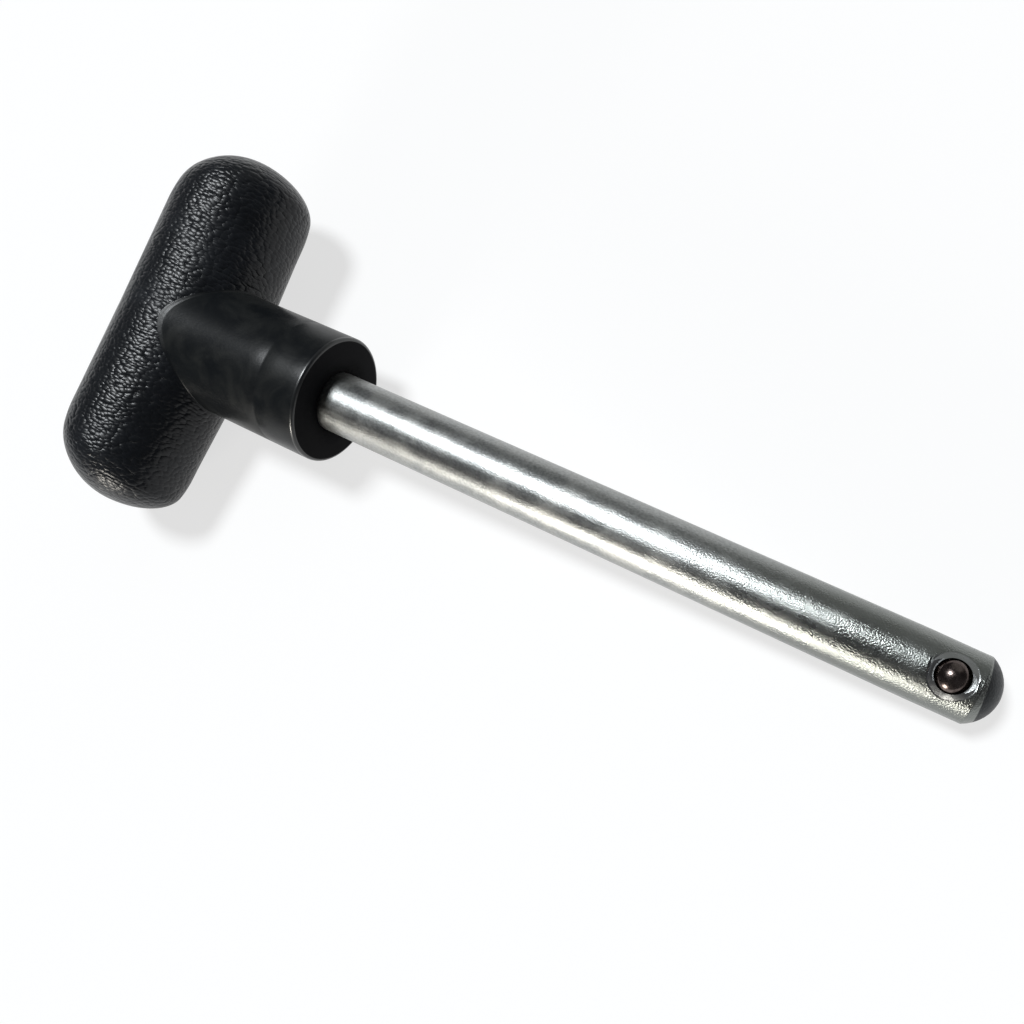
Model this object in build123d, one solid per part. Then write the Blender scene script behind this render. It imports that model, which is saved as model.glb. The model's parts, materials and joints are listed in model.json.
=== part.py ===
"""Weight stack pin: a moulded T handle on a steel rod with a spring ball near its tip.

The pieces are drawn in the pin's own axes: the origin is the centre of the neck's end face, +X runs
along the rod to its tip, +Y along the grip, and the ball looks out along +Z. At the end the pin is laid
down as it comes to rest on a table, on the neck's rim, the rod's tip and one arm of the grip.
"""
from build123d import *
from math import asin, atan2, cos, degrees, radians, sin, sqrt, tan
import os

# Rod, a standard three-eighths of an inch
rod_diameter = 9.525
rod_length = 105.0            # neck face to the top of the crown
lead_length = 7.4             # slight taper behind the crown, which finds the plate's hole
lead_drop = 0.1               # radius lost along it
crown_height = 2.9            # domed front end
crown_edge_fillet = 0.3

# Tang of the rod, which the handle is moulded round
tang_diameter = 8.2
shoulder_sink = 0.1           # the full diameter ends this far inside the neck, then a 45 degree cone
insert_depth = 36.0
rear_chamfer = 1.0
anchor_groove_width = 2.4
anchor_groove_depth = 0.7
anchor_groove_from_face = 11.0
anchor_rear_land = 4.6        # from the last groove to the rear end
anchor_groove_count = 3

# Ball detent
ball_diameter = 4.7625        # three-sixteenths of an inch
ball_from_tip = 6.4
ball_rise = 0.6               # how far the ball stands out of the rod
ball_clearance = 0.05
lip_opening = 4.5             # staked rim that keeps the ball in
mouth_diameter = 6.1          # shallow countersink round the rim, on the rod's top line
mouth_slope = 22.0            # degrees from level
mouth_ledge = 0.15            # flat between the rim and the countersink
stake_spacing = 5.9           # between the two chisel marks that close the rim over the ball
stake_sink = 0.2
stake_half_angle = 60.0       # degrees from the middle of a mark to its flank
stake_offset = 0.15           # the marks sit this much nearer to the tip than the ball
stake_turn = 12.0             # and this many degrees askew
hole_floor_wall = 1.2         # metal left under the blind hole
tool_overrun = 1.0            # how far the cutters start outside the piece

# Spring under the ball
spring_wire = 0.5
spring_wire_sides = 8         # enough for a wire this thin
spring_side_gap = 0.2
spring_turns = 4
spring_seat_gap = 0.03

# Neck of the handle
neck_diameter = 20.4
neck_length = 20.6            # end face to the grip's finger side, at the middle
neck_edge_fillet = 0.5
neck_facet = 4.5              # degrees that one facet of the neck spans when it is meshed
mould_gap = 0.02              # between the moulding and the rod

# Grip of the handle
grip_length = 61.6
grip_width = 21.7             # across, seen along the rod
grip_depth = 23.1             # from the finger side to the palm side
finger_side_fall = 1.85       # how much the finger side drops towards each end
palm_corner = 12.6            # length of the rounding along the grip, on the palm side
finger_corner = 5.0
flank_corner = 8.9
end_point_share = 0.56        # where the end's tip lies, from the palm line to the finger line

rod_r = rod_diameter / 2
tang_r = tang_diameter / 2
nose_r = rod_r - lead_drop
ball_r = ball_diameter / 2
neck_r = neck_diameter / 2
crown_start = rod_length - crown_height
shank_end = crown_start - lead_length
anchor_room = insert_depth - anchor_rear_land - anchor_groove_width - anchor_groove_from_face
anchor_groove_pitch = anchor_room / (anchor_groove_count - 1)
ball_x = rod_length - ball_from_tip
ball_z = rod_r + ball_rise - ball_r
pocket_r = ball_r + ball_clearance
lip_r = lip_opening / 2
above_rod = rod_r + tool_overrun
hole_floor_z = hole_floor_wall - rod_r
palm_x = -neck_length - grip_depth
grip_x = -neck_length - grip_depth / 2
half_grip = grip_length / 2
straight_grip = half_grip - palm_corner


def rounding(station, corner):
    """Share of the full size left at a station along the grip, for a quarter ellipse that long."""
    into = max(0.0, abs(station) - (half_grip - corner)) / corner
    return sqrt(max(0.0, 1 - into**2))


def grip_section(station):
    """Oval section of the grip at a distance from its middle."""
    finger_line = -neck_length - finger_side_fall * abs(station) / half_grip
    tip_x = palm_x + end_point_share * (finger_line - palm_x)
    palm = tip_x - (tip_x - palm_x) * rounding(station, palm_corner)
    finger = tip_x + (finger_line - tip_x) * rounding(station, finger_corner)
    half_depth = (finger - palm) / 2
    half_width = grip_width / 2 * rounding(station, flank_corner)
    front = EllipticalCenterArc((0, 0), half_depth, half_width, 0, arc_size=180)
    back = EllipticalCenterArc((0, 0), half_depth, half_width, 180, arc_size=180)
    plane = Plane(origin=((palm + finger) / 2, station, 0), x_dir=(1, 0, 0), z_dir=(0, 1, 0))
    return plane * make_face(front + back)


def grip_end(side):
    """Domed end of the grip, on the side of +Y or -Y: its sections crowd together towards the tip."""
    turns = [0, 15, 30, 44, 56, 66, 74, 81]
    stations = [side * (straight_grip + palm_corner * sin(radians(turn))) for turn in turns]
    end_line = -neck_length - finger_side_fall
    tip_x = palm_x + end_point_share * (end_line - palm_x)
    return loft([grip_section(station) for station in stations] + [Vertex(tip_x, side * half_grip, 0)])


def make_grip():
    """Cross grip: two straight halves that fall away a little from the middle, and two domed ends."""
    middle = grip_section(0)
    grip = loft([middle, grip_section(straight_grip)], ruled=True)
    grip += loft([middle, grip_section(-straight_grip)], ruled=True)
    return grip + grip_end(1) + grip_end(-1)


def tang_outline(gap):
    """Half outline of the tang with its anchor grooves, from the rear end to the rod's shoulder."""
    rear = -insert_depth - gap
    radius = tang_r + gap
    groove_r = radius - anchor_groove_depth
    points = [(rear, 0), (rear, radius - rear_chamfer), (rear + rear_chamfer, radius)]
    for index in reversed(range(anchor_groove_count)):
        near = -anchor_groove_from_face - index * anchor_groove_pitch
        low, high = near - anchor_groove_width + gap, near - gap
        points += [(low, radius), (low, groove_r), (high, groove_r), (high, radius)]
    cone_start = -shoulder_sink - (rod_r - tang_r)
    return points + [(cone_start, radius), (-shoulder_sink, rod_r + gap)]


def rod_blank():
    """Turned rod: tang, shank, lead taper and crown."""
    crown_r = (nose_r**2 + crown_height**2) / (2 * crown_height)
    turn = asin(nose_r / crown_r) / 2
    middle = (rod_length - crown_r + crown_r * cos(turn), crown_r * sin(turn))
    outline = Polyline(*tang_outline(0), (shank_end, rod_r), (crown_start, nose_r))
    crown = ThreePointArc((crown_start, nose_r), middle, (rod_length, 0))
    profile = make_face(outline + crown + Line((rod_length, 0), (-insert_depth, 0)))
    return revolve(profile, Axis.X)


def rod_room():
    """Room that the rod fills in the moulding, with a hair of clearance all round."""
    points = tang_outline(mould_gap)
    points += [(tool_overrun, rod_r + mould_gap), (tool_overrun, 0)]
    return revolve(make_face(Polyline(*points, close=True)), Axis.X)


def make_handle():
    """One moulding: grip and neck, hollow only where the rod is.

    The neck's round face starts where one of its facets, once meshed, lies flat on the table.
    """
    start = Rot(neck_facet / 2 - roll, 0, 0) * Rot(0, -90, 0)
    neck = start * Cylinder(neck_r, -grip_x, align=(Align.CENTER, Align.CENTER, Align.MIN))
    rim = neck.edges().filter_by(GeomType.CIRCLE).sort_by(Axis.X)[-1]
    neck = fillet(rim, neck_edge_fillet)
    return make_grip() + neck - rod_room()


def across_rod(radius, low, high):
    """Round tool that stands on the ball's axis."""
    return Pos(ball_x, 0, low) * Cylinder(radius, high - low, align=(Align.CENTER, Align.CENTER, Align.MIN))


def countersink():
    """Cone that opens the mouth of the ball's hole."""
    rise = tan(radians(mouth_slope))
    low_r = lip_r + mouth_ledge
    high_r = mouth_diameter / 2 + tool_overrun / rise
    height = (high_r - low_r) * rise
    return Pos(ball_x, 0, above_rod - height / 2) * Cone(low_r, high_r, height)


def stake_marks():
    """Two straight marks across the rod, one on each side of the mouth."""
    depth = stake_sink + tool_overrun
    half_width = depth * tan(radians(stake_half_angle))
    corners = [(0, -stake_sink), (half_width, tool_overrun), (-half_width, tool_overrun)]
    blade = extrude(Plane.XZ * make_face(Polyline(*corners, close=True)), rod_r, both=True)
    half = stake_spacing / 2
    place = Pos(ball_x + stake_offset, 0, rod_r) * Rot(0, 0, stake_turn)
    return place * Pos(half, 0, 0) * blade + place * Pos(-half, 0, 0) * blade


def make_rod():
    """Rod with its crown, grooves, blind ball hole, countersunk mouth and staking marks."""
    rod = rod_blank()
    near = crown_edge_fillet / 2
    crown_edge = rod.edges().filter_by_position(Axis.X, crown_start - near, crown_start + near)
    rod = fillet(crown_edge, crown_edge_fillet)
    hole = across_rod(pocket_r, hole_floor_z, ball_z)
    hole += Pos(ball_x, 0, ball_z) * Sphere(pocket_r)
    hole += across_rod(lip_r, ball_z, above_rod)
    return rod - hole - countersink() - stake_marks()


def make_ball():
    """Hardened ball, half sunk in the rod."""
    return Pos(ball_x, 0, ball_z) * Sphere(ball_r)


def make_spring():
    """Coil spring between the hole's floor and the ball."""
    coil_r = pocket_r - spring_side_gap - spring_wire / 2
    low = hole_floor_z + spring_wire / 2 + spring_seat_gap
    high = ball_z - sqrt((ball_r + spring_wire / 2 + spring_seat_gap) ** 2 - coil_r**2)
    path = Helix(pitch=(high - low) / spring_turns, height=high - low, radius=coil_r)
    wire = Plane(origin=path @ 0, z_dir=path % 0) * RegularPolygon(spring_wire / 2, spring_wire_sides)
    return Pos(ball_x, 0, low) * sweep(wire, path=path, is_frenet=True)


def resting_turn():
    """Tilt and roll of the pin at rest, in degrees.

    The neck's rim and the crown's edge touch the table, which sets the tilt. The grip then hangs a
    little above it, so the pin rolls about its rod until one arm touches.
    """
    tilt = atan2(neck_r - nose_r, crown_start)
    reach = half_grip - flank_corner
    needed = neck_r - grip_x * sin(tilt) / cos(tilt)
    roll = 0.0
    for _ in range(8):
        side = sqrt((flank_corner * sin(roll)) ** 2 + (grip_width / 2 * cos(roll)) ** 2)
        roll = asin(max(0.0, needed - side) / reach)
    return degrees(tilt), degrees(roll)


tilt, roll = resting_turn()
turn = Rot(0, tilt, 0) * Rot(roll, 0, 0)
pieces = {
    "handle": make_handle(),
    "pin_rod": make_rod(),
    "detent_ball": make_ball(),
    "detent_spring": make_spring(),
}
box = Compound(children=[turn * pieces["handle"], turn * pieces["pin_rod"]]).bounding_box()
lay = Pos(-box.center().X, -box.center().Y, -box.min.Z) * turn

os.makedirs("parts", exist_ok=True)
for name, piece in pieces.items():
    export_step(lay * piece, f"parts/{name}.step")

print("tilt", round(tilt, 4), "roll", round(roll, 4), "shank length", round(shank_end + shoulder_sink, 4))
places = {
    "neck face centre": (0, 0, 0),
    "shank middle": ((shank_end - shoulder_sink) / 2, 0, 0),
    "shoulder": (0, (rod_r + neck_r) / 2, 0),
    "ball": (ball_x, 0, ball_z),
}
for name, point in places.items():
    print(name, [round(value / 1000, 6) for value in (lay * Pos(*point)).position])
for name, step in (("rod axis", (1, 0, 0)), ("grip axis", (0, 1, 0)), ("ball axis", (0, 0, 1))):
    print(name, [round(value, 6) for value in (turn * Pos(*step)).position])
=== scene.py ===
# %% [markdown]
# # A weight stack pin
#
# The real object is a steel rod with a black handle moulded round one end. A ball near the rod's
# tip is pressed out by a spring and keeps the pin from sliding out of the weight stack. The solids
# come from the CAD frame, which also says how the ball moves. This script adds what the CAD leaves
# out: the grain of the grip, the fine skin of the plating, the light, the floor and the camera.

import json
from math import cos, degrees, pi, radians, sin, sqrt

import bmesh
import bpy
from mathutils import Matrix, Vector


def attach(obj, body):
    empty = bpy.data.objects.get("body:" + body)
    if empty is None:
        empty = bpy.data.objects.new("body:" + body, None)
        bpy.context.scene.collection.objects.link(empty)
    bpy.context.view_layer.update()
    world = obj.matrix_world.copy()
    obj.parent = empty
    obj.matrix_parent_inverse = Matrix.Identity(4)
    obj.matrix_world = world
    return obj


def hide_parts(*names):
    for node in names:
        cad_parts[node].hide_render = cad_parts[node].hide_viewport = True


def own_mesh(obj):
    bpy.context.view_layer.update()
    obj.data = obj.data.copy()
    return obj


MM = 0.001

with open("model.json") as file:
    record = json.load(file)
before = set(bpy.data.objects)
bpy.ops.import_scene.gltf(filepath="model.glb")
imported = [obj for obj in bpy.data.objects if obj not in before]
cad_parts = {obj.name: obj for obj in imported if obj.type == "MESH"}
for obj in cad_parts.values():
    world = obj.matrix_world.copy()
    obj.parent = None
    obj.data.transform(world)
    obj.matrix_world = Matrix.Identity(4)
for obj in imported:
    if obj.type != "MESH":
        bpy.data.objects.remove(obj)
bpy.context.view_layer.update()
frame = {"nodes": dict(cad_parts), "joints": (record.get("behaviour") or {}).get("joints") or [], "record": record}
record = frame["record"]
print("nodes:", sorted(frame["nodes"]))

# %% [markdown]
# ## The pin's own axes
#
# The pin lies tilted on the floor, because the neck is thicker than the rod. Shapes are easier to
# draw along the pin than along the floor, so each piece is drawn in the pin's own axes, with X
# along the rod, Y along the grip and Z towards the ball, and moved to its place at the end. The two
# mounts and the ball's joint give those axes.

# %% Find the pin's axes
mounts = {mount["name"]: mount for mount in record["mounts"]}
rod_axis = Vector(mounts["shank"]["axis"]).normalized()
ball_axis = -Vector(frame["joints"][0]["axis"]).normalized()
grip_axis = ball_axis.cross(rod_axis).normalized()
on_rod = Vector(mounts["shank"]["pos_m"])
on_face = Vector(mounts["shoulder"]["pos_m"])
face_centre = on_rod + rod_axis * (on_face - on_rod).dot(rod_axis)
pin_turn = Matrix((rod_axis, grip_axis, ball_axis)).transposed()
pin_to_floor = Matrix.Translation(face_centre) @ pin_turn.to_4x4()
floor_to_pin = pin_to_floor.inverted()
print("neck face centre, mm:", [round(v / MM, 2) for v in face_centre])

# %% [markdown]
# ## Sizes
#
# A dressed piece has to be as large as the solid that it takes the place of. Typing all the sizes
# again would let the two drift apart, so the overall ones are read off the CAD nodes, along the
# pin's axes.


# %% Measure the solids, in mm
def span(node):
    """Smallest and largest coordinate of a CAD node along each of the pin's axes."""
    places = [floor_to_pin @ vert.co for vert in frame["nodes"][node].data.vertices]
    low = [min(place[i] for place in places) / MM for i in range(3)]
    high = [max(place[i] for place in places) / MM for i in range(3)]
    return low, high


handle_low, handle_high = span("handle")
ball_low, ball_high = span("detent_ball")
ball_centre = [(low + high) / 2 for low, high in zip(ball_low, ball_high)]
rod_r = mounts["shank"]["dims"]["r_mm"]
rod_tip = span("pin_rod")[1][0]
print("ball centre, mm:", [round(v, 2) for v in ball_centre])

# %% [markdown]
# The grip is an oval bar with domed ends. Its size along each axis is that of the CAD handle, less
# a hair, so that it stays within the real size. Each side of the bar curves in over a length of its
# own, which makes the ends lopsided domes. Those lengths and the neck's sizes don't show in the
# handle's overall size, so they are given here.

# %% Sizes of the moulding, in mm
within = 0.006  # how far the dressed grip stays inside the solid
palm_x = handle_low[0] + within
half_grip = (handle_high[1] - handle_low[1]) / 2 - within
half_width = (handle_high[2] - handle_low[2]) / 2 - within
finger_fall = 1.85  # how much the finger side drops towards each end
palm_corner = 12.6
finger_corner = 5.0
flank_corner = 8.9
tip_share = 0.56  # where the end's tip lies, from the palm side to the finger side
neck_r = 10.2
neck_length = 20.6
neck_edge = 0.5


def rounding(station, corner):
    """Share of the full size left at a station along the grip."""
    into = max(0.0, abs(station) - (half_grip - corner)) / corner
    return sqrt(max(0.0, 1 - into * into))


def grip_oval(station):
    """Centre and half sizes of the grip's oval section at a station."""
    finger = -neck_length - finger_fall * abs(station) / half_grip
    tip = palm_x + tip_share * (finger - palm_x)
    palm = tip - (tip - palm_x) * rounding(station, palm_corner)
    finger = tip + (finger - tip) * rounding(station, finger_corner)
    return (palm + finger) / 2, (finger - palm) / 2, half_width * rounding(station, flank_corner)


print("grip length and width, mm:", round(2 * half_grip, 2), round(2 * half_width, 2))

# %% [markdown]
# ## Node helpers
#
# The finishes are built from noise patterns. Making each node by hand takes several lines, which
# hides what the finish does. A few small helpers keep the node trees short: each adds one node, and
# takes plain values or the outputs of other nodes for its inputs.


# %% Nodes and their inputs
def set_inputs(tree, node, values):
    """Links a node's inputs to other sockets, or gives them plain values."""
    for key, value in values.items():
        socket = node.inputs[key]
        if isinstance(value, bpy.types.NodeSocket):
            tree.links.new(value, socket)
        elif socket.type == "RGBA":
            socket.default_value = (*value, 1.0)
        else:
            socket.default_value = value


def add(tree, kind, values, **settings):
    """A new node with its settings and inputs."""
    node = tree.nodes.new(kind)
    for key, value in settings.items():
        setattr(node, key, value)
    set_inputs(tree, node, values)
    return node


def maths(tree, operation, first, second, third=0.0):
    """Output of a Math node."""
    values = {0: first, 1: second, 2: third}
    return add(tree, "ShaderNodeMath", values, operation=operation).outputs[0]


def vectors(tree, operation, first, second=(0, 0, 0)):
    """Output of a Vector Math node, which works on three numbers at once."""
    values = {0: first, 1: second}
    node = add(tree, "ShaderNodeVectorMath", values, operation=operation)
    return node.outputs["Value" if operation == "LENGTH" else "Vector"]


turn_to_pin = floor_to_pin.to_euler()
print("turn from the floor to the pin, degrees:", [round(degrees(v), 1) for v in turn_to_pin])


# %% Places, patterns and colours
def pin_coordinates(tree):
    """Object coordinates turned into the pin's axes, in mm."""
    values = {
        "Vector": add(tree, "ShaderNodeTexCoord", {}).outputs["Object"],
        "Rotation": turn_to_pin,
        "Location": floor_to_pin.translation / MM,
        "Scale": (1 / MM,) * 3,
    }
    return add(tree, "ShaderNodeMapping", values, vector_type="POINT").outputs["Vector"]


def noise(tree, place, scale, detail, **more):
    """A cloudy pattern, with so many clouds in a mm."""
    values = {"Vector": place, "Scale": scale, "Detail": detail, **more}
    return add(tree, "ShaderNodeTexNoise", values)


def remap(tree, value, low, high, to_low=0.0, to_high=1.0):
    """A value brought from one range to another, with soft ends."""
    values = {
        "Value": value,
        "From Min": low,
        "From Max": high,
        "To Min": to_low,
        "To Max": to_high,
    }
    node = add(tree, "ShaderNodeMapRange", values, interpolation_type="SMOOTHSTEP")
    return node.outputs["Result"]


def mix_colour(tree, share, first, second):
    """Blend of two colours. The node has several sockets A and B, so these go by number."""
    values = {"Factor": share, 6: first, 7: second}
    return add(tree, "ShaderNodeMix", values, data_type="RGBA").outputs[2]


def bumps(tree, height, depth):
    """Surface directions of a pattern of heights, with its depth in mm."""
    values = {"Height": height, "Distance": depth * MM}
    return add(tree, "ShaderNodeBump", values).outputs["Normal"]


def new_material(name):
    """A material, its node tree and its plain Principled shader."""
    material = bpy.data.materials.new(name)
    material.use_nodes = True
    tree = material.node_tree
    return material, tree, tree.nodes["Principled BSDF"]


print("patterns run along the rod from 0 to", round(rod_tip, 1), "mm")

# %% [markdown]
# ## Smears
#
# Nothing that has been handled is evenly clean. Fingers and the stack leave soft clouds and fine
# specks on the plastic and on the steel alike. All the finishes need both, so they are a node
# group: it is built once and placed in each material with a size of its own.

# %% Smears, a group that all the finishes use
smears = bpy.data.node_groups.new("Smears", "ShaderNodeTree")
smears.interface.new_socket("Vector", in_out="INPUT", socket_type="NodeSocketVector")
size_socket = smears.interface.new_socket("Size", in_out="INPUT", socket_type="NodeSocketFloat")
size_socket.default_value = 8.0
for label in ("Amount", "Fine"):
    smears.interface.new_socket(label, in_out="OUTPUT", socket_type="NodeSocketFloat")
specks_in_a_cloud = 12.0
cloud_edges = (0.35, 0.7)
speck_edges = (0.3, 0.7)
given = add(smears, "NodeGroupInput", {}).outputs
clouds_in_a_mm = maths(smears, "DIVIDE", 1.0, given["Size"])
cloud = noise(smears, given["Vector"], clouds_in_a_mm, 4.0, Roughness=0.6, Distortion=0.6)
specks_in_a_mm = maths(smears, "MULTIPLY", clouds_in_a_mm, specks_in_a_cloud)
speck = noise(smears, given["Vector"], specks_in_a_mm, 2.0)
smears_out = {
    "Amount": remap(smears, cloud.outputs["Fac"], *cloud_edges),
    "Fine": remap(smears, speck.outputs["Fac"], *speck_edges),
}
add(smears, "NodeGroupOutput", smears_out)


def smeared(tree, place, size):
    """Outputs of the Smears group, at a size in mm."""
    return add(tree, "ShaderNodeGroup", {"Vector": place, "Size": size}, node_tree=smears).outputs


print("smears nodes:", len(smears.nodes))

# %% [markdown]
# ## Grained plastic of the grip
#
# The grip is grained so that it doesn't slip: short wrinkles run across it, like those of leather.
# A toolmaker etches that grain into the mould. The wrinkles are too fine for faces, so they are a
# bump in the material: rounded cells, squeezed along the grip and pushed about by noise, which
# keeps them from lying in rows.

# %% Grained plastic
grain_cells = (0.95, 1.85, 0.95)  # wrinkles in a mm along X, Y and Z
grain_wander = 0.8  # mm that the noise pushes the wrinkles about
grain_fullness = 2.3  # more makes the wrinkles fuller, with narrower valleys between them
grain_depth = 0.17  # mm
grip_black = (0.004, 0.005, 0.0065)
grip_smeared = (0.007, 0.0085, 0.011)


def grained_plastic():
    """Glossy black plastic with a wrinkled grain."""
    material, tree, shader = new_material("Grained black plastic")
    place = pin_coordinates(tree)
    drift = noise(tree, place, 0.45, 1.0).outputs["Color"]
    shift = vectors(tree, "SUBTRACT", drift, (0.5, 0.5, 0.5))
    shift = vectors(tree, "MULTIPLY", shift, (grain_wander,) * 3)
    squeezed = vectors(tree, "MULTIPLY", vectors(tree, "ADD", place, shift), grain_cells)
    values = {"Vector": squeezed, "Scale": 1.0, "Randomness": 0.8}
    cells = add(tree, "ShaderNodeTexVoronoi", values)
    valley = maths(tree, "POWER", cells.outputs["Distance"], grain_fullness)
    cloudy = smeared(tree, place, 9.0)["Amount"]
    finish = {
        "Base Color": mix_colour(tree, cloudy, grip_black, grip_smeared),
        "Roughness": remap(tree, cloudy, 0.0, 1.0, 0.31, 0.38),
        "Specular IOR Level": 0.27,
        "Normal": bumps(tree, maths(tree, "MULTIPLY", valley, -1.0), grain_depth),
    }
    set_inputs(tree, shader, finish)
    return material


grain = grained_plastic()
print("grip:", grain.name, "with a grain", grain_depth, "mm deep")

# %% [markdown]
# ## Smooth plastic of the neck
#
# The neck comes out of the polished part of the mould. It is smooth and satin, with faint smears
# from handling, and its rim is rubbed bright. A coat of clear gloss at the rim alone does that
# without another piece. The end face is dull, as that part of the mould was never polished, so it
# has a material of its own.

# %% Smooth and matt plastic
rim_reach = 0.12  # mm over which the rim's gloss fades in
rim_gloss = 0.7
neck_black = (0.004, 0.005, 0.006)
neck_smeared = (0.012, 0.013, 0.013)
end_face_black = (0.004, 0.004, 0.005)


def satin_plastic():
    """Smooth black plastic of the neck, with a polished rim."""
    material, tree, shader = new_material("Satin black plastic")
    place = pin_coordinates(tree)
    smear = smeared(tree, place, 6.0)
    along = add(tree, "ShaderNodeSeparateXYZ", {0: place}).outputs["X"]
    cloudy = smear["Amount"]
    finish = {
        "Base Color": mix_colour(tree, cloudy, neck_black, neck_smeared),
        "Roughness": remap(tree, cloudy, 0.0, 1.0, 0.31, 0.36),
        "Specular IOR Level": 0.17,
        "Coat Weight": remap(tree, along, -neck_edge - rim_reach, -neck_edge, 0.0, rim_gloss),
        "Coat Roughness": 0.28,
        "Normal": bumps(tree, smear["Fine"], 0.004),
    }
    set_inputs(tree, shader, finish)
    return material


def matt_plastic():
    """Dull black plastic of the neck's end face."""
    material, tree, shader = new_material("Matt black plastic")
    finish = {"Base Color": end_face_black, "Roughness": 0.75, "Specular IOR Level": 0.1}
    set_inputs(tree, shader, finish)
    return material


satin = satin_plastic()
matt = matt_plastic()
print("neck:", satin.name, "and", matt.name)

# %% [markdown]
# ## From a drawing to a piece
#
# Each new piece is drawn as a bmesh in the pin's axes, in mm. The same steps then finish all of
# them: points that lie on one another are merged, the faces are turned outwards, and the whole
# drawing is moved to the floor. The place goes into the mesh and not into the object, so the object
# stays at the origin, as those of the CAD nodes do.

# %% Finish a piece
merge_distance = 0.0005  # mm


def add_to_scene(name, data):
    """An object at the origin, unturned and unscaled."""
    holder = bpy.data.objects.new(name, data)
    bpy.context.scene.collection.objects.link(holder)
    return holder


def finish_piece(bm, name, materials, body):
    """Turns a bmesh drawn in the pin's axes, in mm, into a smooth piece that rides on a body."""
    bmesh.ops.remove_doubles(bm, verts=bm.verts, dist=merge_distance)
    bmesh.ops.recalc_face_normals(bm, faces=bm.faces)
    bm.transform(pin_to_floor @ Matrix.Scale(MM, 4))
    mesh = bpy.data.meshes.new(name)
    bm.to_mesh(mesh)
    bm.free()
    mesh.shade_smooth()
    for material in materials:
        mesh.materials.append(material)
    piece = add_to_scene(name, mesh)
    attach(piece, body)
    print(name, "faces:", len(mesh.polygons))
    return piece


# %% [markdown]
# ## The grip
#
# A sphere already has the grip's closed, seamless form: rings that run from one tip to the other.
# So the grip starts as a sphere of many rings, and each ring is moved to the oval that the bar has
# at that place. A cylinder with bevelled ends would need its caps mended.

# %% Grip
ring_steps = 176  # faces round the bar
rings = 220  # rows of faces from tip to tip
pole_size = 1e-6  # a point nearer than this to a tip's axis has no side to lie on
bm = bmesh.new()
bmesh.ops.create_uvsphere(bm, u_segments=ring_steps, v_segments=rings, radius=1.0)
for vert in bm.verts:
    station = vert.co.z * half_grip
    centre, half_depth, half_height = grip_oval(station)
    across = Vector((vert.co.x, vert.co.y))
    if across.length > pole_size:
        across.normalize()
    vert.co = (centre + half_depth * across.x, station, half_height * across.y)
grip = finish_piece(bm, "grip", [grain], "pin")
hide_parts("handle")

# %% [markdown]
# ## The neck
#
# The neck comes out of the same mould as a smooth round boss, with a small radius round its end
# face and another where it runs into the grip. The fine line round it shows where two parts of the
# mould met. A cylinder with bevelled edges could do, but a spun outline holds the radius, the line
# and the lining of the bore in one go.

# %% Outline of the neck, as pairs of X and radius in mm
corner_turns = [radians(15 * step) for step in range(7)]  # a quarter circle in six steps
bore_gap = 0.02
bore_r = rod_r + bore_gap
bore_depth = 1.2  # how far the outline follows the bore in
parting_line = 7.6  # from the end face
parting_reach = 0.2  # from the line to each of its edges
parting_depth = 0.04
before_line = (2.5, 5, parting_line - parting_reach)
after_line = (parting_line + parting_reach, 10, 12.5, 15, 17)
face_r = neck_r - neck_edge

outline = [(-bore_depth, bore_r), (0.0, bore_r), (0.0, (rod_r + neck_r) / 2), (0.0, face_r)]
for turn in corner_turns[1:]:
    outline.append((-neck_edge + neck_edge * cos(turn), face_r + neck_edge * sin(turn)))
outline += [(-x, neck_r) for x in before_line]
outline.append((-parting_line, neck_r - parting_depth))
outline += [(-x, neck_r) for x in after_line]
print("neck outline points:", len(outline))

# %% [markdown]
# Where the neck meets the grip, its foot follows the grip's curve. The foot's rings are spun like
# the rest, and each point is then moved along the rod until it lies on the grip's oval, or a little
# in front of it. That gives the saddle-shaped joint, which a flat cut could not. Each ring carries
# a number, so that its points are known again after the spin.

# %% Foot of the neck, in mm
foot_radius = 0.25
foot_sink = 0.6  # how far the last ring lies inside the grip
foot_start = 17.2  # where the rings wait while they are spun
foot_spacing = 0.1
foot_rises = [foot_radius * (1 - sin(turn)) for turn in corner_turns] + [-foot_sink]
foot_flares = [foot_radius * (1 - cos(turn)) for turn in corner_turns] + [foot_radius]


def grip_front(y, z):
    """X of the grip's finger side at a place seen along the rod."""
    centre, half_depth, half_height = grip_oval(y)
    return centre + half_depth * sqrt(max(0.0, 1 - (z / half_height) ** 2))


print("neck meets the grip at X, mm:", round(grip_front(0, 0), 2), round(grip_front(0, neck_r), 2))

# %% Neck
neck_steps = 160  # faces round the neck
hair = 0.01  # mm, to tell places apart


def on_end_face(face):
    """Whether a face belongs to the neck's flat end or to the lining of its bore."""
    return all(vert.co.x > -hair or vert.co.yz.length < bore_r + hair for vert in face.verts)


bm = bmesh.new()
foot_number = bm.verts.layers.int.new("foot")
ring = [bm.verts.new((x, r, 0)) for x, r in outline]
for i, flare in enumerate(foot_flares):
    vert = bm.verts.new((-foot_start - i * foot_spacing, neck_r + flare, 0))
    vert[foot_number] = i + 1
    ring.append(vert)
edges = [bm.edges.new(pair) for pair in zip(ring, ring[1:])]
bmesh.ops.spin(
    bm,
    geom=ring + edges,
    cent=(0, 0, 0),
    axis=(1, 0, 0),
    angle=2 * pi,
    steps=neck_steps,
    use_merge=True,
)
for vert in bm.verts:
    if vert[foot_number]:
        vert.co.x = grip_front(vert.co.y, vert.co.z) + foot_rises[vert[foot_number] - 1]
for face in bm.faces:
    face.material_index = int(on_end_face(face))
neck = finish_piece(bm, "neck", [satin, matt], "pin")
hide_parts("handle")
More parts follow.
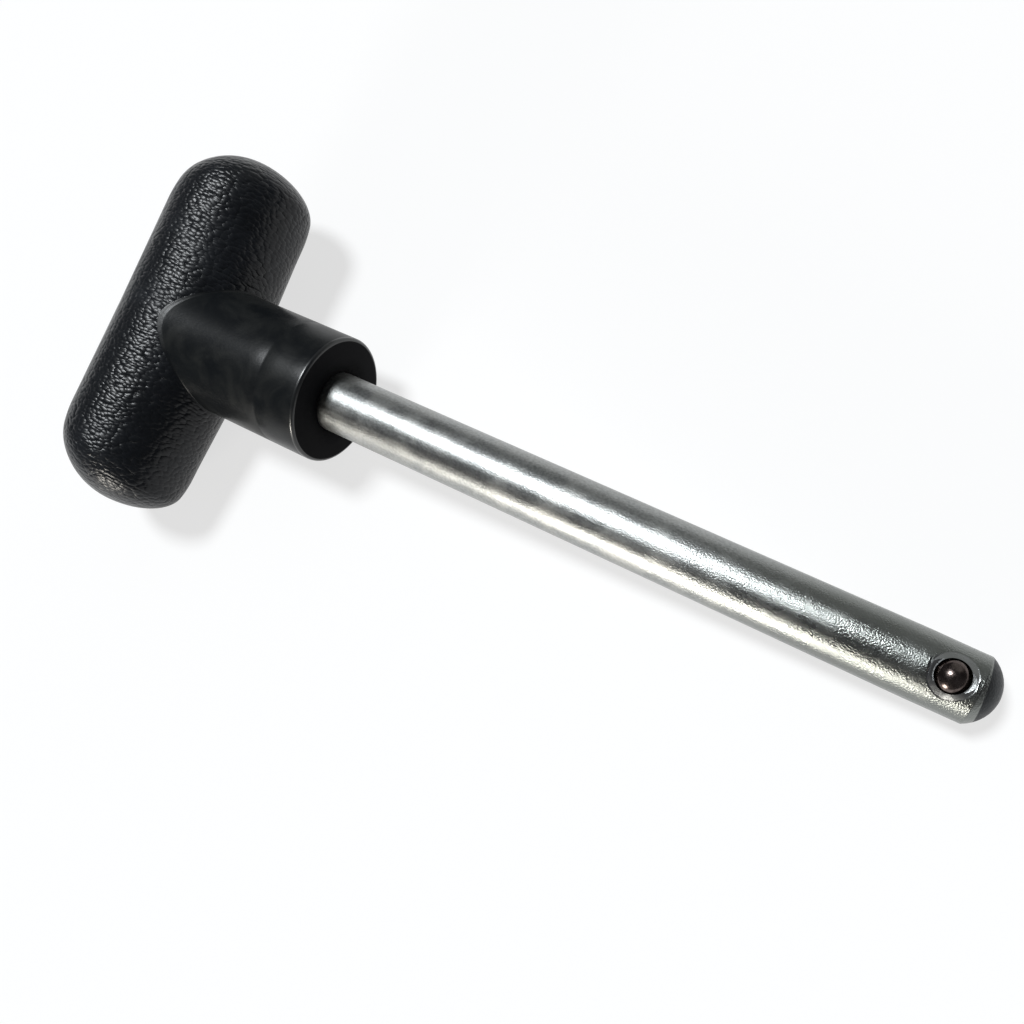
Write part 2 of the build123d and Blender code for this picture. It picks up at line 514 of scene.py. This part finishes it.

# %% [markdown]
# ## Zinc-plated steel
#
# The rod is bright zinc: a silver metal, with a fine frosty skin of crystals that breaks up the
# edges of each reflection. Towards the tip the skin is duller and coarser, from rubbing in the
# holes of the stack. Round the ball the punch has pressed it smooth. The crown is rougher, and its
# colour is painted nearly black: a painted dark reflection. The rod's shape is finished in the
# CAD, so only its material is made here. Masks that follow the place on the pin say where each
# zone lies, and need no picture or unwrapping.

# %% Zones of the rod, in mm
dull_from, dull_to = 56.0, 88.0
coarse_from, coarse_to = 30.0, 75.0
punched_r = 2.9  # round the ball
punched_fade = 0.25
crown_height = 2.9
crown_edge = rod_tip - crown_height
# From here the crown is rougher and painted nearly black, a painted dark reflection; the zone starts askew.
painted_dark_from, painted_dark_to = crown_edge + 0.55, crown_edge + 0.7
painted_dark_slant = 0.13  # the bare zone starts askew


def rod_zones(tree, place):
    """Masks of the dull part, coarse skin, punched ring round the ball and the crown's painted dark reflection."""
    axes = add(tree, "ShaderNodeSeparateXYZ", {0: place}).outputs
    from_ball = vectors(tree, "SUBTRACT", place, ball_centre)
    away = vectors(tree, "LENGTH", vectors(tree, "MULTIPLY", from_ball, (1, 1, 0)))
    slanted = maths(tree, "MULTIPLY_ADD", axes["Y"], painted_dark_slant, axes["X"])
    return {
        "dull": remap(tree, axes["X"], dull_from, dull_to),
        "coarse": remap(tree, axes["X"], coarse_from, coarse_to, 0.35, 0.62),
        "punched": remap(tree, away, punched_r, punched_r + punched_fade, 1.0, 0.0),
        # the crown: rougher, and painted nearly black as a painted dark reflection
        "painted_dark": remap(tree, slanted, painted_dark_from, painted_dark_to),
    }


# where the crown's painted dark reflection begins
print("bare crown starts at X, mm:", round(painted_dark_from, 2))

# %% Colours of the zinc
zinc_dark = (0.24, 0.25, 0.245)
zinc_light = (0.32, 0.325, 0.31)
zinc_flecks = (0.46, 0.47, 0.47)
zone_shades = {
    "dull": (0.195, 0.205, 0.195),
    "punched": (0.33, 0.34, 0.34),
    # painted dark reflection on the crown, not the metal's own colour
    "painted_dark": (0.045, 0.048, 0.05),
}


def zinc_colour(tree, smear, zones):
    """Mottled silver, darker towards the tip, with a painted dark reflection on the crown."""
    colour = mix_colour(tree, smear["Amount"], zinc_dark, zinc_light)
    flecks = maths(tree, "MULTIPLY", smear["Fine"], 0.5)
    colour = mix_colour(tree, flecks, colour, zinc_flecks)
    for zone, shade in zone_shades.items():
        colour = mix_colour(tree, zones[zone], colour, shade)
    return colour


print("zones with a shade of their own:", list(zone_shades))

# %% Gloss and skin of the zinc
streak_stretch = (0.05, 2.2, 2.2)  # fine lines along the rod
wave_stretch = (0.2, 0.5, 0.5)  # broad, shallow waves along the rod
wave_share = 0.45
crystals_in_a_mm = 4.6
skin_depth = 0.1  # mm


def zinc_roughness(tree, place, smear, zones):
    """How rough the zinc is, with fine lines along the rod and a rougher crown."""
    stretched = vectors(tree, "MULTIPLY", place, streak_stretch)
    streaks = noise(tree, stretched, 1.0, 2.0).outputs["Fac"]
    rough = remap(tree, smear["Amount"], 0.0, 1.0, 0.26, 0.34)
    for mask, more in ((streaks, 0.14), (zones["dull"], -0.09), (zones["painted_dark"], 0.2)):
        rough = maths(tree, "MULTIPLY_ADD", mask, more, rough)
    return rough


def zinc_skin(tree, place, zones):
    """Heights of the crystals and of broad waves, pressed flatter round the ball."""
    crystals = noise(tree, place, crystals_in_a_mm, 2.0, Roughness=0.55).outputs["Fac"]
    stretched = vectors(tree, "MULTIPLY", place, wave_stretch)
    waves = noise(tree, stretched, 1.0, 1.0).outputs["Fac"]
    height = maths(tree, "MULTIPLY", crystals, zones["coarse"])
    height = maths(tree, "MULTIPLY_ADD", waves, wave_share, height)
    kept = maths(tree, "MULTIPLY_ADD", zones["punched"], -0.8, 1.0)
    return maths(tree, "MULTIPLY", height, kept)


print("crystals along the rod:", round(crystals_in_a_mm * rod_tip))


# %% Zinc plating
def plated_steel():
    """Satin zinc with a frosted skin."""
    material, tree, shader = new_material("Zinc-plated steel")
    place = pin_coordinates(tree)
    smear = smeared(tree, place, 5.0)
    zones = rod_zones(tree, place)
    finish = {
        "Base Color": zinc_colour(tree, smear, zones),
        "Metallic": 1.0,
        "Roughness": zinc_roughness(tree, place, smear, zones),
        "Normal": bumps(tree, zinc_skin(tree, place, zones), skin_depth),
    }
    set_inputs(tree, shader, finish)
    return material


def set_material(node, material):
    """Gives a CAD node its finish."""
    piece = frame["nodes"][node]
    piece.data.materials.clear()
    piece.data.materials.append(material)


zinc = plated_steel()
set_material("pin_rod", zinc)
print("rod:", zinc.name)

# %% [markdown]
# ## Ball steel
#
# The ball is a bearing ball: hard, polished and nearly mirror bright, with a dark, slightly brown
# colour. A ball needs no pattern of its own, so small smears that vary its gloss are enough.

# %% Ball steel
ball_dark = (0.07, 0.055, 0.05)
ball_light = (0.17, 0.14, 0.13)


def ball_steel():
    """Polished hardened steel, dark and slightly brown."""
    material, tree, shader = new_material("Hardened ball steel")
    smear = smeared(tree, pin_coordinates(tree), 1.2)
    finish = {
        "Base Color": mix_colour(tree, smear["Amount"], ball_dark, ball_light),
        "Metallic": 1.0,
        "Roughness": remap(tree, smear["Fine"], 0.0, 1.0, 0.16, 0.28),
    }
    set_inputs(tree, shader, finish)
    return material


set_material("detent_ball", ball_steel())
print("ball:", frame["nodes"]["detent_ball"].data.materials[0].name)

# %% [markdown]
# ## The spring
#
# A small coil spring stands in the blind hole under the ball. It can't be seen, but it grows
# shorter when the ball is pressed in. A ring of points is spun round the hole's axis while it
# climbs, which winds the wire.

# %% Spring
spring_low, spring_high = span("detent_spring")
wire_r = 0.25
wire_sides = 12
turns = 4
steps_in_a_turn = 40
steps = steps_in_a_turn * turns
coil_r = (spring_high[0] - spring_low[0]) / 2 - wire_r
free_height = spring_high[2] - spring_low[2]
hole_floor = Vector((ball_centre[0], ball_centre[1], spring_low[2]))

bm = bmesh.new()
bmesh.ops.create_circle(bm, segments=wire_sides, radius=wire_r)
bmesh.ops.rotate(bm, verts=bm.verts, matrix=Matrix.Rotation(pi / 2, 3, "X"))
bmesh.ops.translate(bm, verts=bm.verts, vec=hole_floor + Vector((coil_r, 0, wire_r)))
bmesh.ops.spin(
    bm,
    geom=bm.verts[:] + bm.edges[:],
    cent=hole_floor,
    axis=(0, 0, 1),
    dvec=(0, 0, (free_height - 2 * wire_r) / steps),
    angle=2 * pi * turns,
    steps=steps,
)
bmesh.ops.holes_fill(bm, edges=bm.edges, sides=wire_sides)
spring = finish_piece(bm, "spring", [zinc], "pin")
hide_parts("detent_spring")
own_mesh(spring)

# %% [markdown]
# ## Floor
#
# The photograph shows the pin on plain white. A floor that is white by its paint alone would need
# strong lamps, which would burn out the metal. So the floor is pale, and shines a little of its own
# accord where it is looked at, straight, through glass or in a reflection. That keeps it white
# while the lamps stay low, and it still takes the pin's shadow.

# %% Floor
floor_reach = 12.0  # metres
floor_shine = 0.7  # share of its light that it gives when looked at
bm = bmesh.new()
bmesh.ops.create_grid(bm, x_segments=1, y_segments=1, size=floor_reach)
floor_mesh = bpy.data.meshes.new("floor")
bm.to_mesh(floor_mesh)
bm.free()
floor = add_to_scene("floor", floor_mesh)
floor_material, tree, shader = new_material("Pale floor")
paint = {"Base Color": (0.85, 0.85, 0.85), "Roughness": 0.9, "Specular IOR Level": 0.0}
set_inputs(tree, shader, paint)
rays = add(tree, "ShaderNodeLightPath", {}).outputs
seen = maths(tree, "MAXIMUM", rays["Is Camera Ray"], rays["Is Glossy Ray"])
seen = maths(tree, "MAXIMUM", seen, rays["Is Transmission Ray"])
share = maths(tree, "MULTIPLY", seen, floor_shine)
glow = add(tree, "ShaderNodeEmission", {"Color": (1, 1, 1), "Strength": 1.0})
both = add(tree, "ShaderNodeMixShader", {0: share, 1: shader.outputs[0], 2: glow.outputs[0]})
set_inputs(tree, tree.nodes["Material Output"], {"Surface": both.outputs[0]})
floor_mesh.materials.append(floor_material)
print("floor, metres across:", 2 * floor_reach)

# %% [markdown]
# ## Lamps
#
# The photograph was lit by a cool lamp overhead and a weaker warm one from the lower left. They
# leave two bright bands along the rod. Suns take their places, because their light comes from one
# direction all along the pin, and the wide angle of each keeps the bands and the shadow soft. A
# faint third one fills the far side, so that the floor is evenly lit as far as the eye reaches, and
# a dim grey room lights what the lamps miss.


# %% Lamps
def soft_sun(name, toward, angle, strength, colour):
    """A sun whose light comes from a direction in the pin's axes, with its angle in degrees."""
    lamp = bpy.data.lights.new(name, "SUN")
    lamp.angle = radians(angle)
    lamp.energy = strength
    lamp.color = colour
    holder = add_to_scene(name, lamp)
    direction = (pin_turn @ Vector(toward)).normalized()
    holder.rotation_mode = "QUATERNION"
    holder.rotation_quaternion = direction.to_track_quat("Z", "Y")
    print(name, "height in degrees:", round(90 - degrees(direction.angle(Vector((0, 0, 1))))))


soft_sun("cool overhead lamp", (-0.34, 0.2, 0.91), 15, 3.3, (0.94, 0.975, 1.0))
soft_sun("warm side lamp", (-0.15, -0.94, 0.14), 18, 2.8, (1.0, 0.95, 0.87))
soft_sun("far fill lamp", (0.1, 0.93, 0.35), 60, 0.2, (0.97, 1.0, 0.95))

# %% Dim grey room
world = bpy.data.worlds.new("studio")
bpy.context.scene.world = world
world.use_nodes = True
room = {"Color": (0.085, 0.085, 0.09), "Strength": 1.0}
set_inputs(world.node_tree, world.node_tree.nodes["Background"], room)
print("room:", room["Color"])

# %% [markdown]
# ## Camera
#
# The camera stands close above the tip, so the rod narrows towards the handle. Its place, lens and
# shift were found from the outlines in the photograph.

# %% Camera
camera_place = Vector((88.209, -11.387, 126.105)) * MM
camera_right = Vector((0.85447, 0.43684, -0.28115))
camera_up = Vector((-0.42007, 0.89942, 0.12080))
camera_turn = Matrix((camera_right, camera_up, camera_right.cross(camera_up))).transposed()
camera_data = bpy.data.cameras.new("camera")
camera_data.lens = 32.564
camera_data.sensor_width = 36.0
camera_data.shift_x = -0.0444
camera_data.shift_y = 0.0895
camera_data.clip_start = 0.005
camera_data.clip_end = 50.0
camera = add_to_scene("camera", camera_data)
camera.rotation_mode = "QUATERNION"
camera.location = pin_to_floor @ camera_place
camera.rotation_quaternion = (pin_turn @ camera_turn).to_quaternion()
bpy.context.scene.camera = camera
bpy.context.scene.view_settings.view_transform = "Standard"
print("camera above the floor, mm:", round(camera.location.z / MM))
